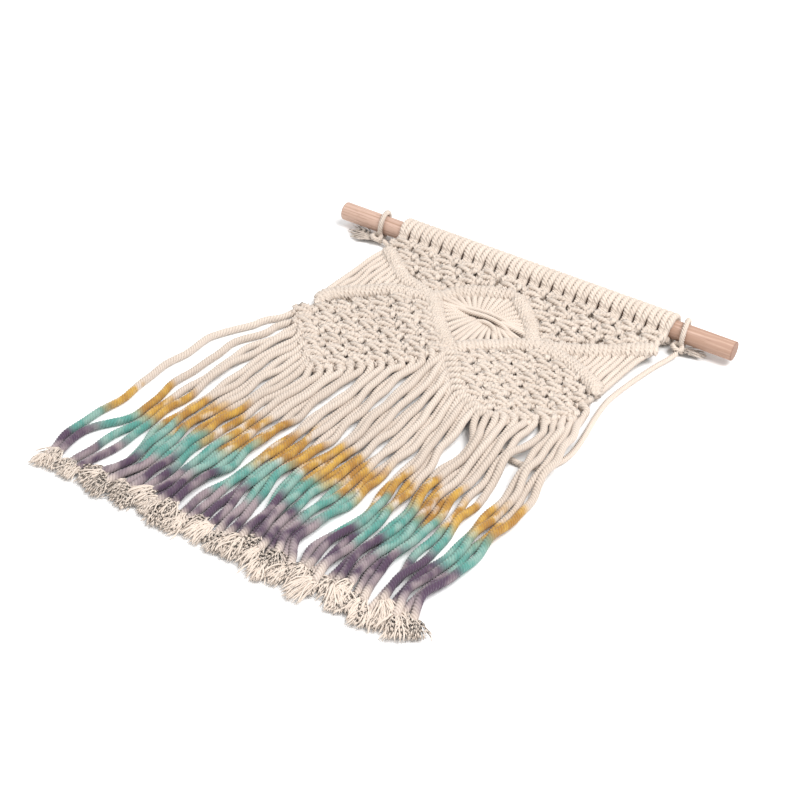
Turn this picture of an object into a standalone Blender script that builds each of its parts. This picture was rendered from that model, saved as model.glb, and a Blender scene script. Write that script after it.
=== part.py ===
"""A macrame wall hanging on a dowel rod, lying on its back on a level surface.

+X runs along the rod, +Y from the fringe towards the rod and +Z up. The origin is the middle
of the ground that the rod and the cloth cover. Places on the cloth are given in millimetres as
(across, down): across from the cloth's left edge, down from the rod's axis towards the fringe.
"""
import math

import bmesh
import bpy
from mathutils import Matrix, Vector
from mathutils.geometry import delaunay_2d_cdt

MM = 0.001
GAP = 0.3                  # left between pieces that touch on the real thing

ROD_LENGTH = 300.0
ROD_RADIUS = 6.5
WRAP = 4.2                 # thickness of the strands where they go round the rod
SLIT_DEPTH = 1.5           # between two lark's heads
HEAD_SIDE_SHARE = 0.22     # share of a head's width that slopes down to each slit
HEADING_STEPS = 12         # flats round the rod
ROD_HEIGHT = ROD_RADIUS + GAP + WRAP      # the rod's axis, lying on its wraps

PANEL_WIDTH = 208.0
PANEL_INSET = 50.0         # bare rod to the left of the cloth
STRANDS = 48
PITCH = PANEL_WIDTH / STRANDS
FRINGE_END = 354.0         # lowest tip, down from the rod's axis
ROD_Y = (FRINGE_END - ROD_HEIGHT) / 2

PANEL_TOP = 11.6           # the first row of knots starts just clear of the wraps
FIRST_ROW_END = 24.5
KNOT_ROWS = 17
KNOT_HEIGHT = 9.4          # one row of the alternating knots
KNOT_THICK = 8.8           # top of a square knot above the cloth's underside
SEAM_THICK = 6.4           # the cloth between two knots
BAR_THICK = 10.0           # top of a knotted bar
BAR_SIDE = 4.4             # from a bar's middle to its foot
STRAND_THICK = 4.6         # a loose strand
EDGE_THICK = 6.0

CORD_RADIUS = 2.0          # the hanging cord and the ties
ROD_LIFT = 6.0             # the cloth's underside where it leaves the rod
ROD_LIFT_END = 70.0        # it has come down to the surface here
CORD_LIFT = 4.7            # the underside where it passes over the hanging cord
CORD_LIFT_FLAT = 10.0      # lifted fully this far to each side of the cord
CORD_LIFT_END = 32.0
CORD_SHOWS = 0.5           # share of that lift that also raises the panel's top

STRIP_START = 0.7          # from the cloth's edge to the fringe's backing strip
STRIP_END = 4.8
ROOT_SHARE = 0.36          # half a root's share of the hem that each strand has
HEM_SLOPE_SHARE = 0.35     # how much a slope in the hem adds to that share
TURN_FROM = 180.0          # the strands leave the hem straight down up to here, and then
TURN_MOST = 60.0           # turned more and more towards the right side, to this many degrees
STRAND_GAP = 0.38          # between two fringe strands
STRAND_WIDEST = 4.7
ROW_STEP = 12.5            # between two stations down a strand
FRAY_THICK = 5.2           # the frayed end, where it is thickest and at its tip
TIP_THICK = 2.0
TIP_STAGGER = 9.0          # how much shorter the shortest strand is

# The knotted bars' middle lines, (across, down). TOP_* lie on the first row of knots.
TOP_LEFT, TOP_MIDDLE, TOP_RIGHT = (3.5, 28.2), (105.0, 27.4), (207.1, 29.1)
CROSS_LEFT, CROSS_RIGHT, CROSS_LOW = (59.7, 62.4), (141.6, 67.4), (102.2, 108.9)
HEM_LEFT, HEM_RIGHT = (0.1, 108), (196.8, 92)
NOTCH, HEM_NOTCH = 102.2, 114.4            # the top of the notch between the two lobes
BARS = {
    "v_left": [TOP_LEFT, (19.7, 41.3), (34.2, 52.9), CROSS_LEFT, (78.2, 84.4), (90.2, 97.4),
               CROSS_LOW],
    "v_right": [TOP_RIGHT, (188.4, 42.1), (172.5, 52.3), (155.9, 61), CROSS_RIGHT,
                (126.6, 77), (113.8, 93.2), CROSS_LOW],
    "peak_left": [TOP_MIDDLE, (91.7, 31.6), (80.1, 37.3), (69.1, 46.1), CROSS_LEFT, (41.2, 66.9),
                  (26.3, 73.8), (10.6, 85.5), (2.1, 96), HEM_LEFT],
    "peak_right": [TOP_MIDDLE, (116.6, 38), (128.2, 50.2), CROSS_RIGHT, (158.7, 69),
                   (175.8, 75), (190.5, 84), HEM_RIGHT],
}
# The cloth's sides and its lower edge, from left to right: two lobes with a notch between them.
SIDE_LEFT = [(0.6, 25.5), (-2.8, 41.6), (-5.1, 61.2), (-5.7, 83), (-5.6, 103)]
HEM = [(-3.2, 119.5), (15.4, 141.3), (31.3, 158.7), (46.9, 176), (69.4, 151.4), (86.5, 131.4),
       (100.8, 115), (103.6, 115), (110.8, 124.5), (131.7, 150.3), (153.6, 160.3), (161.4, 159.5),
       (167.6, 156), (175.4, 145.6), (181.5, 134.6), (190.7, 122.1), (195.5, 113.5),
       (198.0, 104.5)]
SIDE_RIGHT = [(198.8, 93.4), (199.8, 84), (200.2, 70), (201.6, 56.5), (203.2, 47.3),
              (204.7, 37.2), (208.1, 28.2)]

# Gaps between strands that show the surface below: (across, down, length, width).
SLITS = [
    (174.4, 55.2, 6, 2.0), (180.2, 52.6, 6, 1.8), (185.6, 49.3, 6, 2.0), (191.5, 45.8, 6, 2.2),
    (195.8, 42.0, 6, 1.6), (199.7, 39.4, 6, 1.6), (168.8, 58.6, 5, 1.4), (163.1, 61.7, 5, 1.2),
    (13.7, 43.0, 5, 1.4), (22.0, 50.0, 5, 1.6), (30.4, 56.6, 5, 1.6), (39.2, 60.0, 4, 1.2),
    (75.0, 50.5, 6, 1.8), (83.5, 42.2, 6, 1.8), (89.0, 39.1, 6, 1.6), (106.7, 36.8, 6, 1.4),
    (118.0, 48.2, 6, 1.6), (86.5, 78.0, 12, 1.6), (99.5, 86.0, 14, 1.8), (108.0, 82.0, 8, 1.2),
    (66.8, 59.0, 6, 1.2), (126.7, 61.2, 6, 1.2),
]

# The centre knot and the strands that spread from it.
STAR = (97.5, 65.5)
STAR_HALF = (13.0, 6.0)
STAR_RAYS = 26

# The fringe's locks of strands, left to right. Each column pair is a lock's left and right side,
# in mm across, at the distance down that FRINGE_LEVELS gives.
FRINGE_LEVELS = (150.0, 187.0, 226.0, 275.0, 315.0, 342.0)
FRINGE_LOCKS = [
    # strands, then left and right at each level
    (1, (-19.6, -14.4), (-33.4, -28.2), (-34.4, -29.2), (-32.7, -27.5), (-34.2, -29.0),
     (-29.0, -23.8)),
    (1, (-8.2, -3.0), (-17.6, -12.4), (-18.1, -12.9), (-15.4, -10.2), (-28.5, -23.3),
     (-23.4, -18.2)),
    (2, (1.0, 10.6), (-7.1, 4.0), (-7.5, 1.8), (-9.8, 2.5), (-13.8, 2.5), (-16.5, -1.2)),
    (7, (11.6, 44.6), (5.3, 46.5), (7.4, 41.5), (4.0, 37.9), (10.9, 38.9), (-0.4, 37.5)),
    (5, (45.6, 66.6), (47.0, 67.8), (44.6, 66.1), (42.6, 64.2), (44.3, 59.7), (38.5, 63.5)),
    (6, (68.0, 93.0), (71.4, 93.6), (69.1, 96.3), (69.1, 91.5), (62.9, 96.9), (64.3, 100.6)),
    (6, (94.0, 118.6), (96.1, 118.7), (98.3, 119.9), (93.0, 117.3), (101.4, 116.6),
     (101.2, 122.2)),
    (4, (119.6, 135.6), (120.2, 136.3), (120.6, 138.0), (118.1, 136.7), (117.5, 131.5),
     (122.8, 141.8)),
    (4, (136.6, 152.2), (137.0, 151.2), (140.2, 156.2), (144.0, 159.4), (137.7, 156.7),
     (142.4, 159.1)),
    (7, (153.0, 181.5), (160.2, 179.9), (156.9, 181.8), (162.5, 182.9), (157.4, 180.9),
     (159.7, 187.2)),
    (2, (182.5, 192.2), (180.6, 190.1), (182.4, 193.1), (183.8, 195.7), (187.4, 193.4),
     (187.8, 195.9)),
    (3, (193.6, 208.2), (194.5, 209.5), (198.9, 216.4), (198.3, 215.3), (194.2, 210.9),
     (196.5, 215.6)),
]

# The hanging cord's route, (across, down, height of its middle), from the right tie to the left.
FLOOR = CORD_RADIUS + 0.1
CORD_ROUTE = [
    (217.4, 15.3, 4.2), (214.8, 23, 2.6), (211.8, 34, FLOOR), (209.4, 47, FLOOR),
    (206.8, 64, FLOOR), (205.2, 77, FLOOR), (204.4, 88, FLOOR), (204.6, 97, FLOOR),
    (206.0, 110, FLOOR), (209.2, 131, FLOOR), (211.2, 150, FLOOR), (209.6, 166, FLOOR),
    (201, 178, FLOOR), (185, 180, FLOOR), (168, 169, FLOOR), (147, 148, FLOOR),
    (120, 121, FLOOR), (92, 96, FLOOR), (62, 74, FLOOR), (34, 54, FLOOR), (12, 33, FLOOR),
    (1.5, 19, FLOOR), (-5, 12, 2.8), (-11.2, 9.8, 4.2),
]
HIDDEN_FROM = 10           # the route's first point under the cloth
CORD_STEP = 9.5

TIE_LEFT_ACROSS, TIE_RIGHT_ACROSS = -16.6, 217.0
TIE_KNOT = (5.0, 4.3, 4.1)                 # half sizes along X, Y and Z
TIE_KNOT_DOWN, TIE_KNOT_HEIGHT = 10.2, 4.4
# Each frayed end: its tip's (across, down, height) from the knot's middle, and its root radius.
TAIL_LEFT = [((-19.0, -4.5, -2.4), 2.6), ((-17.0, 1.5, -2.6), 2.8), ((-12.0, 7.5, -2.6), 2.5)]
TAIL_RIGHT = [((19.0, -9.0, -2.6), 1.9), ((15.0, -5.0, -2.6), 1.9)]
TAIL_TIP = 1.2

COTTON = ("cotton", (0.86, 0.78, 0.66), 0.95)
WOOD = ("beech", (0.72, 0.50, 0.36), 0.60)
DYED = ("dyed cotton", (0.66, 0.66, 0.55), 0.95)


# ---------------------------------------------------------------- places and curves
def world(across, down, height=0.0):
    """The point in metres for a place on the cloth."""
    return Vector(((across + PANEL_INSET - ROD_LENGTH / 2) * MM,
                   (ROD_Y - down) * MM, height * MM))


def smooth_curve(points, step):
    """Points about a step apart along a curve through the given ones (Catmull-Rom)."""
    points = [Vector(p) for p in points]
    ends = [2 * points[0] - points[1]] + points + [2 * points[-1] - points[-2]]
    curve = []
    for before, start, end, after in zip(ends, ends[1:], ends[2:], ends[3:]):
        count = max(1, round((end - start).length / step))
        for i in range(count):
            t = i / count
            curve.append(0.5 * (2 * start + (end - before) * t
                                + (2 * before - 5 * start + 4 * end - after) * t ** 2
                                + (3 * start - before - 3 * end + after) * t ** 3))
    return curve + [points[-1]]


def ease(t):
    """0 to 1 without a corner at either end."""
    t = min(1.0, max(0.0, t))
    return t * t * (3 - 2 * t)


def down_on(line, across):
    """How far down a line of (across, down) points lies at one place across."""
    line = sorted(line)
    for (x0, y0), (x1, y1) in zip(line, line[1:]):
        if x0 <= across <= x1 and x1 > x0:
            return y0 + (y1 - y0) * (across - x0) / (x1 - x0)
    return line[0][1] if across < line[0][0] else line[-1][1]


def distance_to(line, across, down):
    """From a place to the nearest point of a line of (across, down) points."""
    best = 1e9
    place = Vector((across, down))
    for start, end in zip(line, line[1:]):
        start, end = Vector(start), Vector(end)
        along = end - start
        t = min(1.0, max(0.0, (place - start).dot(along) / along.length_squared))
        best = min(best, (place - start - along * t).length)
    return best


def inside(ring, across, down):
    """Whether a place lies inside a closed ring of (across, down, ...) points."""
    odd = False
    for (x0, y0), (x1, y1) in zip([p[:2] for p in ring], [p[:2] for p in ring[1:] + ring[:1]]):
        if (y0 > down) != (y1 > down) and across < x0 + (down - y0) * (x1 - x0) / (y1 - y0):
            odd = not odd
    return odd


HIDDEN_CORD = [p.to_2d() for p in smooth_curve(CORD_ROUTE[HIDDEN_FROM:], 8.0)]


def lift(across, down, share=1.0):
    """The cloth's underside above the surface: high at the rod and over the hanging cord.

    With a smaller share, the part of the lift that still shows on the cloth's top.
    """
    at_rod = ROD_LIFT * (1 - ease((down - PANEL_TOP) / (ROD_LIFT_END - PANEL_TOP)))
    away = distance_to(HIDDEN_CORD, across, down) - CORD_LIFT_FLAT
    over_cord = CORD_LIFT * (1 - ease(away / (CORD_LIFT_END - CORD_LIFT_FLAT)))
    return max(at_rod, over_cord * share)


# ---------------------------------------------------------------- building helpers
def new_collection(name):
    collection = bpy.data.collections.new(name)
    bpy.context.scene.collection.children.link(collection)
    return collection


def material(look):
    name, color, roughness = look
    found = bpy.data.materials.get(name)
    if found:
        return found
    made = bpy.data.materials.new(name)
    made.use_nodes = True
    shader = made.node_tree.nodes["Principled BSDF"]
    shader.inputs["Base Color"].default_value = (*color, 1.0)
    shader.inputs["Roughness"].default_value = roughness
    return made


def add_object(name, mesh, look, collection):
    made = bpy.data.objects.new(name, mesh)
    collection.objects.link(made)
    if look:
        made.data.materials.append(material(look))
    return made


def fuse(base, others, helpers):
    """Union the other objects into the base, and keep them as wire helpers."""
    for other in others:
        union = base.modifiers.new("fuse " + other.name, "BOOLEAN")
        union.operation = "UNION"
        union.object = other
        for owner in list(other.users_collection):
            owner.objects.unlink(other)
        helpers.objects.link(other)
        other.hide_render = True
        other.display_type = "WIRE"


def triangles_in(rings, marks):
    """Triangulate the first ring less the others, with the marks as inner points."""
    points = [p for ring in rings for p in ring] + list(marks)
    edges, first = [], 0
    for ring in rings:
        edges += [(first + i, first + (i + 1) % len(ring)) for i in range(len(ring))]
        first += len(ring)
    flat = [Vector(p[:2]) for p in points]
    verts, _, faces, sources, _, _ = delaunay_2d_cdt(flat, edges, [], 0, 1e-6)
    kept = []
    for face in faces:
        middle = sum((verts[i] for i in face), Vector((0, 0))) / len(face)
        if inside(rings[0], *middle) and not any(inside(r, *middle) for r in rings[1:]):
            kept.append([sources[i][0] for i in face])
    return points, kept


def slab(rings, marks, sparse_marks, share=1.0):
    """A closed sheet: an outline, slits through it, and marks that raise or sink its top.

    Rings and marks are (across, down, thickness). The underside follows lift(), with only the
    sparse marks as inner points, and the top follows the given share of it.
    """
    shape = bmesh.new()
    top_points, top_faces = triangles_in(rings, marks)
    low_points, low_faces = triangles_in(rings, sparse_marks)
    top = [shape.verts.new(world(a, d, lift(a, d, share) + thick)) for a, d, thick in top_points]
    low = [shape.verts.new(world(p[0], p[1], lift(p[0], p[1]))) for p in low_points]
    for face in top_faces:
        shape.faces.new([top[i] for i in face])
    for face in low_faces:
        shape.faces.new([low[i] for i in face])
    first = 0
    for ring in rings:
        for i in range(len(ring)):
            a, b = first + i, first + (i + 1) % len(ring)
            shape.faces.new([top[a], top[b], low[b], low[a]])
        first += len(ring)
    bmesh.ops.delete(shape, geom=[v for v in shape.verts if not v.link_faces], context="VERTS")
    bmesh.ops.triangulate(shape, faces=shape.faces[:])
    bmesh.ops.recalc_face_normals(shape, faces=shape.faces[:])
    mesh = bpy.data.meshes.new("slab")
    shape.to_mesh(mesh)
    shape.free()
    return mesh


class Marks:
    """Inner points of a slab, none closer to another than a set distance."""

    def __init__(self, closest):
        self.closest = closest
        self.cells = {}

    def add(self, across, down, thick):
        cell = (int(across // self.closest), int(down // self.closest))
        for i in (-1, 0, 1):
            for j in (-1, 0, 1):
                for x, y, _ in self.cells.get((cell[0] + i, cell[1] + j), ()):
                    if math.hypot(x - across, y - down) < self.closest:
                        return
        self.cells.setdefault(cell, []).append((across, down, thick))

    def all(self):
        return [mark for cell in self.cells.values() for mark in cell]


# ---------------------------------------------------------------- the rod and its wraps
def build_dowel(parts):
    bpy.ops.mesh.primitive_cylinder_add(vertices=32, radius=ROD_RADIUS * MM, depth=ROD_LENGTH * MM,
                                        location=(0, ROD_Y * MM, ROD_HEIGHT * MM),
                                        rotation=(0, math.pi / 2, 0))
    dowel = bpy.context.object
    dowel.name = "dowel"
    edge = dowel.modifiers.new("worn edge", "BEVEL")
    edge.width = 0.6 * MM
    edge.limit_method = "ANGLE"
    edge.angle_limit = math.radians(60)
    dowel.data.materials.append(material(WOOD))
    for owner in list(dowel.users_collection):
        owner.objects.unlink(dowel)
    parts.objects.link(dowel)
    return dowel


def build_heading(parts):
    """The row of lark's heads: a ridged sleeve, one flat-topped ridge to each head."""
    flat = math.cos(math.pi / HEADING_STEPS)
    crest = ROD_HEIGHT / flat
    slit = crest - SLIT_DEPTH
    bore = (ROD_RADIUS + GAP) / flat
    unit = 2 * PITCH
    start = -PANEL_WIDTH / 2
    outer = []
    for i in range(STRANDS // 2):
        left = start + i * unit
        outer += [(slit, left), (crest, left + HEAD_SIDE_SHARE * unit),
                  (crest, left + (1 - HEAD_SIDE_SHARE) * unit)]
    outer.append((slit, start + PANEL_WIDTH))
    profile = list(reversed(outer)) + [(bore, start), (bore, start + PANEL_WIDTH)]
    mesh = bpy.data.meshes.new("heading")
    ring = [(radius * MM, 0, along * MM) for radius, along in profile]
    mesh.from_pydata(ring, [(i, (i + 1) % len(ring)) for i in range(len(ring))], [])
    heading = add_object("heading", mesh, COTTON, parts)
    turn = heading.modifiers.new("turn", "SCREW")
    turn.axis = "Z"
    turn.steps = turn.render_steps = HEADING_STEPS
    turn.use_merge_vertices = True
    turn.merge_threshold = 1e-5
    middle = world(PANEL_WIDTH / 2, 0, ROD_HEIGHT)
    heading.matrix_world = (Matrix.Translation(middle) @ Matrix.Rotation(math.pi / 2, 4, "Y")
                            @ Matrix.Rotation(math.pi / HEADING_STEPS, 4, "Z"))
    return heading


# ---------------------------------------------------------------- the knotted panel
def field_rings():
    """The four fields of alternating square knots, as rings of (across, down)."""
    left_v, right_v = BARS["v_left"], BARS["v_right"]
    left_peak, right_peak = BARS["peak_left"], BARS["peak_right"]
    top_left = left_v[:4] + left_peak[3::-1]
    top_right = right_v[:5] + right_peak[2::-1]
    lobe_left = left_peak[4:] + HEM[:7] + left_v[:2:-1]
    lobe_right = right_v[4:] + HEM[7:] + right_peak[:2:-1]
    return [top_left, top_right, lobe_left, lobe_right]


def knot_marks(marks):
    """Raise every square knot as a short loaf, with the cloth sunk at its corners."""
    rows = [(PANEL_TOP + 1.5, FIRST_ROW_END, 0, None)]
    top = FIRST_ROW_END
    fields = field_rings()
    for row in range(KNOT_ROWS):
        rows.append((top, top + KNOT_HEIGHT, (row + 1) % 2, fields))
        top += KNOT_HEIGHT
    for start, end, shifted, wanted in rows:
        middle = (start + end) / 2
        for knot in range(STRANDS // 4 + shifted):
            centre = (4 * knot + (0 if shifted else 2)) * PITCH
            if wanted and not any(inside(ring, centre, middle) for ring in wanted):
                continue
            places = [(centre - 1.2 * PITCH, middle, KNOT_THICK - 0.4),
                      (centre, middle, KNOT_THICK),
                      (centre + 1.2 * PITCH, middle, KNOT_THICK - 0.4),
                      (centre - 2 * PITCH, middle, SEAM_THICK),
                      (centre + 2 * PITCH, middle, SEAM_THICK),
                      (centre, start, SEAM_THICK), (centre, end, SEAM_THICK)]
            for across, down, thick in places:
                if on_cloth(across, down, 2.0) and clear_of_bars(across, down, BAR_SIDE + 1.6):
                    marks.add(across, down, thick)


def on_cloth(across, down, margin):
    """Whether a place lies on the panel, at least a margin inside its outline."""
    ring = panel_ring()
    if not inside(ring, across, down):
        return False
    return distance_to([p[:2] for p in ring + ring[:1]], across, down) >= margin


def clear_of_bars(across, down, margin):
    return all(distance_to(line, across, down) >= margin for line in BARS.values())


def bar_marks(marks):
    """Raise the knotted bars, a little higher at each hitch, with a foot along both sides."""
    for line in BARS.values():
        curve = smooth_curve([(a, d, 0) for a, d in line], 5.6)
        for i, place in enumerate(curve):
            before, after = curve[max(0, i - 1)], curve[min(len(curve) - 1, i + 1)]
            along = (after - before).normalized()
            side = Vector((-along.y, along.x, 0)) * BAR_SIDE
            thick = BAR_THICK - (0.9 if i % 2 else 0.0)
            if on_cloth(place.x, place.y, 1.6):
                marks.add(place.x, place.y, thick)
            for foot in (place + side, place - side):
                if on_cloth(foot.x, foot.y, 1.6) and clear_of_bars(foot.x, foot.y, BAR_SIDE - 0.6):
                    marks.add(foot.x, foot.y, EDGE_THICK)


def side_spans():
    """The loose strands of the side triangles: (strand, upper end, lower end)."""
    spans = []
    for strand in range(STRANDS):
        across = (strand + 0.5) * PITCH
        if across < CROSS_LEFT[0]:
            upper, lower = BARS["v_left"][:4], BARS["peak_left"][4:]
        elif across > CROSS_RIGHT[0]:
            upper, lower = BARS["v_right"][:5], BARS["peak_right"][3:]
        else:
            continue
        start, end = down_on(upper, across) + 6.5, down_on(lower, across) - 6.5
        if end - start > 6:
            spans.append((strand, start, end))
    return spans


def side_marks(marks):
    """Raise each loose side strand, and sink the cloth between two of them."""
    for strand, start, end in side_spans():
        pieces = max(1, round((end - start) / 13))
        for i in range(pieces + 1):
            down = start + (end - start) * i / pieces
            for across, thick in (((strand + 0.5) * PITCH, STRAND_THICK + 2.2),
                                  (strand * PITCH, STRAND_THICK)):
                if on_cloth(across, down, 1.5) and clear_of_bars(across, down, BAR_SIDE + 1.0):
                    marks.add(across, down, thick)


def star_marks(marks):
    """The centre knot and the strands that spread from it to the diamond's four bars."""
    for across, down, thick in [(-0.6, 0, BAR_THICK), (0.6, 0, BAR_THICK), (0, -0.2, BAR_THICK),
                                (-1, 0, SEAM_THICK), (1, 0, SEAM_THICK), (-0.5, 1, SEAM_THICK),
                                (0.5, 1, SEAM_THICK), (-0.5, -1, SEAM_THICK),
                                (0.5, -1, SEAM_THICK)]:
        marks.add(STAR[0] + across * STAR_HALF[0], STAR[1] + down * STAR_HALF[1], thick)
    for ray in range(2 * STAR_RAYS):
        turn = math.pi * ray / STAR_RAYS
        thick = STRAND_THICK + (2.4 if ray % 2 else 0.4)
        for reach in (1.75, 2.6):
            across = STAR[0] + STAR_HALF[0] * reach * math.cos(turn)
            down = STAR[1] + STAR_HALF[1] * 2 * (reach - 0.6) * math.sin(turn)
            if clear_of_bars(across, down, BAR_SIDE + 1.4) and in_diamond(across, down):
                marks.add(across, down, thick)


def in_diamond(across, down):
    ring = (BARS["peak_left"][4::-1] + BARS["peak_right"][1:4] + BARS["v_right"][5:]
            + BARS["v_left"][-2:3:-1])
    return inside(ring, across, down)


def panel_ring():
    """The panel's outline, clockwise from its top left corner, as (across, down, thickness)."""
    ring = []
    for knot in range(STRANDS // 4):
        ring += [(4 * knot * PITCH, PANEL_TOP, EDGE_THICK - 1),
                 ((4 * knot + 2) * PITCH, PANEL_TOP, KNOT_THICK - 1)]
    ring.append((PANEL_WIDTH, PANEL_TOP, EDGE_THICK - 1))
    around = list(reversed(SIDE_RIGHT)) + list(reversed(HEM)) + list(reversed(SIDE_LEFT))
    return ring + [(across, down, EDGE_THICK) for across, down in around]


def slit(across, down, length, width):
    """A narrow kite-shaped gap between two strands, about its middle."""
    rim = EDGE_THICK - 1
    return [(across, down - length / 2, rim), (across + width / 2, down, rim),
            (across, down + length / 2, rim), (across - width / 2, down, rim)]


def build_panel(parts):
    slits = [slit(*row) for row in SLITS]
    marks = Marks(2.1)
    star_marks(marks)
    bar_marks(marks)
    knot_marks(marks)
    side_marks(marks)
    placed = [m for m in marks.all()
              if all(distance_to([p[:2] for p in s + s[:1]], m[0], m[1]) > 1.1
                     and not inside(s, m[0], m[1]) for s in slits)]
    under = Marks(5.0)
    for row in range(int(FRINGE_END / 11)):
        for column in range(int(PANEL_WIDTH / 11)):
            across, down = (column + 0.5) * 11.0, (row + 1) * 11.0
            if on_cloth(across, down, 3.0) and not any(inside(s, across, down) for s in slits):
                under.add(across, down, 0)
    mesh = slab([panel_ring()] + slits, placed, under.all(), CORD_SHOWS)
    return add_object("panel", mesh, COTTON, parts)


# ---------------------------------------------------------------- the fringe
def strand_sides():
    """Each fringe strand's left and right side at every level, from the locks' table."""
    strands = []
    for count, *levels in FRINGE_LOCKS:
        for i in range(count):
            sides = []
            for left, right in levels:
                share = (right - left) / count
                width = min(share - STRAND_GAP, STRAND_WIDEST)
                middle = left + share * (i + 0.5)
                sides.append((middle - width / 2, middle + width / 2))
            strands.append(sides)
    return strands


def half_hem(strand):
    """The part of the hem that a strand's half of the fringe hangs from."""
    if strand < STRANDS // 2:
        return [p for p in HEM if p[0] < NOTCH] + [(NOTCH - GAP / 2, HEM_NOTCH)]
    return [(NOTCH + GAP / 2, HEM_NOTCH)] + [p for p in HEM if p[0] > NOTCH]


def below_hem(place, distance):
    """The point a distance below a place on the hem, the way that the strands leave it."""
    across, down = place
    turn = math.radians(TURN_MOST) * ease((across - TURN_FROM) / (HEM[-1][0] - TURN_FROM))
    return across + distance * math.sin(turn), down + distance * math.cos(turn)


def hem_place(strand, share, distance):
    """The point below the hem at a share (0 to 1) of one strand's stretch of it."""
    line = half_hem(strand)
    steps = [math.hypot(x1 - x0, HEM_SLOPE_SHARE * (y1 - y0))
             for (x0, y0), (x1, y1) in zip(line, line[1:])]
    half = STRANDS // 2
    left = sum(steps) * (strand % half + share) / half
    for (x0, y0), (x1, y1), step in zip(line, line[1:], steps):
        if left <= step:
            break
        left -= step
    t = min(1.0, left / step)
    return below_hem((x0 + (x1 - x0) * t, y0 + (y1 - y0) * t), distance)


def strand_lines():
    """Every strand's stations from its root to its last level, as lists of (down, left, right).

    The stations lie on rows that all the strands share, where each strand is kept clear of the
    one to its left.
    """
    paths = []
    for strand, sides in enumerate(strand_sides()):
        (left, high), (right, low) = root_sides(strand)
        path = [(max(high, low), left, right)]
        path += [(level, *pair) for level, pair in zip(FRINGE_LEVELS, sides)
                 if level > path[0][0] + ROW_STEP]
        paths.append(path)
    rows = []
    low, high = min(path[0][0] for path in paths), FRINGE_LEVELS[-1]
    count = round((high - low) / ROW_STEP)
    for row in range(1, count + 1):
        down, last, cells = low + (high - low) * row / count, -1e9, {}
        for strand, path in enumerate(paths):
            if down < path[0][0] + ROW_STEP / 2:
                continue
            left, right = side_at(path, down, 1), side_at(path, down, 2)
            push = max(0.0, last + STRAND_GAP - left)
            cells[strand] = (down, left + push, right + push * 0.5)
            last = right + push * 0.5
        rows.append(cells)
    return [[cells[strand] for cells in rows if strand in cells] for strand in range(STRANDS)]


def root_sides(strand):
    """The two points, (across, down), where a strand's sides leave the backing strip."""
    return [hem_place(strand, 0.5 + side * ROOT_SHARE, STRIP_END) for side in (-1, 1)]


def side_at(path, down, column):
    """A strand's left (column 1) or right (column 2) side at any distance down."""
    for start, end in zip(path, path[1:]):
        if down <= end[0]:
            t = (down - start[0]) / (end[0] - start[0])
            return start[column] + (end[column] - start[column]) * ease(t)
    return path[-1][column]


def strand_ring(strand, line):
    """One strand's outline from root to tip and back, as (across, down, thickness)."""
    tip = FRINGE_END - TIP_STAGGER * ((strand * 5) % 7) / 6
    stations = [(*station, STRAND_THICK) for station in line]
    down, left, right, thick = stations[-1]
    middle, half = (left + right) / 2, (right - left) / 2
    stations[-1] = (down, left, right, FRAY_THICK)
    stations.append((tip, middle - half * 0.7, middle + half * 0.7, TIP_THICK))
    (left, high), (right, low) = root_sides(strand)
    left_side = [(left, high, STRAND_THICK)] + [(a, d, thick) for d, a, _, thick in stations]
    right_side = [(a, d, thick) for d, _, a, thick in reversed(stations)]
    return left_side + right_side + [(right, low, STRAND_THICK)]


def build_fringe(name, strands, parts):
    """Half of the fringe: its strands run on from one backing strip below the hem."""
    upper = [(*below_hem(place, STRIP_START), EDGE_THICK - 1) for place in half_hem(strands[0])]
    lower = []
    lines = strand_lines()
    for strand in strands:
        lower += strand_ring(strand, lines[strand])
        if strand != strands[-1]:
            lower.append((*hem_place(strand, 1.0, STRIP_END - 1.0), EDGE_THICK - 1))
    mesh = slab([list(reversed(upper)) + lower], [], [])
    return add_object(name, mesh, DYED, parts)


# ---------------------------------------------------------------- the ties and the hanging cord
def spike(name, start, end, radius, collection):
    """A frayed lock: a flat cone from start to end, both (across, down, height)."""
    start, end = world(*start), world(*end)
    along = end - start
    shape = bmesh.new()
    bmesh.ops.create_cone(shape, cap_ends=True, segments=6, radius1=radius * MM,
                          radius2=TAIL_TIP * MM, depth=along.length)
    mesh = bpy.data.meshes.new(name)
    shape.to_mesh(mesh)
    shape.free()
    made = add_object(name, mesh, None, collection)
    made.matrix_world = (Matrix.Translation((start + end) / 2)
                         @ along.to_track_quat("Z", "Y").to_matrix().to_4x4())
    return made


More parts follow.
